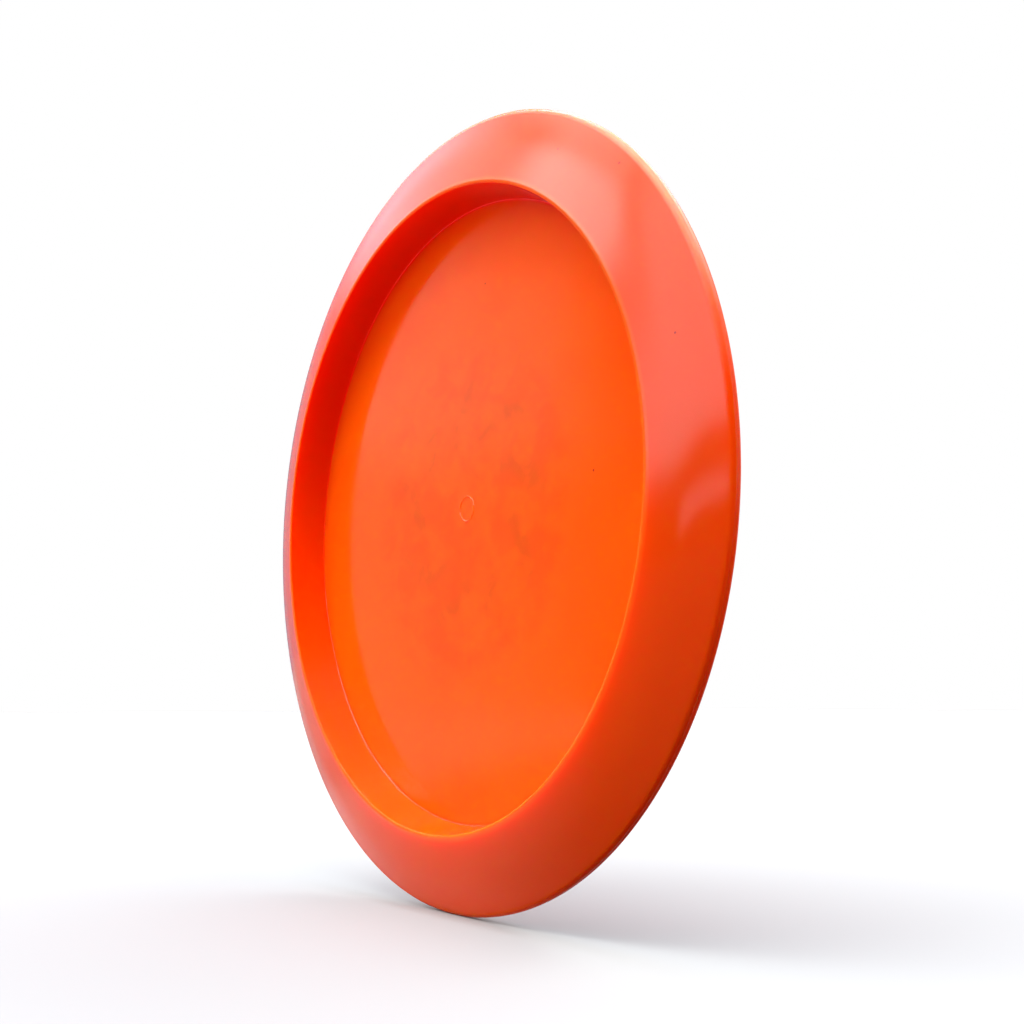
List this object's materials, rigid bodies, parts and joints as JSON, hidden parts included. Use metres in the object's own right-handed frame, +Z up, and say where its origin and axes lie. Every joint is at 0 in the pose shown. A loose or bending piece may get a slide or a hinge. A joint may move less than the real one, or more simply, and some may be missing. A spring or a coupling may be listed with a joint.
{
  "type": "flying disc",
  "caption": "Round throwing disc with a wide bevelled rim, a thin flight plate over a hollow underside, and a foil pinwheel stamped on its top.",
  "frame": {"origin": "on the spin axis, at the centre of the bounding box, half way between the lip and the outer face of the foil", "axes": "the disc stands on its edge: +Y along the spin axis, out of the top; -Y out of the hollow underside; +Z up"},
  "size_m": [0.211, 0.0128, 0.211],
  "materials": {
    "orange_plastic": "glossy, slightly translucent moulded plastic",
    "stamp_foil": "satin hot-stamped foil"
  },
  "bodies": {
    "root": {"disc_body": "orange_plastic", "foil_border_ring": "stamp_foil", "foil_hub_ring": "stamp_foil", "foil_blade_1": "stamp_foil", "foil_blade_2": "stamp_foil", "foil_blade_3": "stamp_foil", "foil_blade_4": "stamp_foil", "foil_blade_5": "stamp_foil", "foil_blade_6": "stamp_foil", "foil_blade_7": "stamp_foil", "foil_blade_8": "stamp_foil", "foil_blade_9": "stamp_foil"}
  },
  "joints": []
}
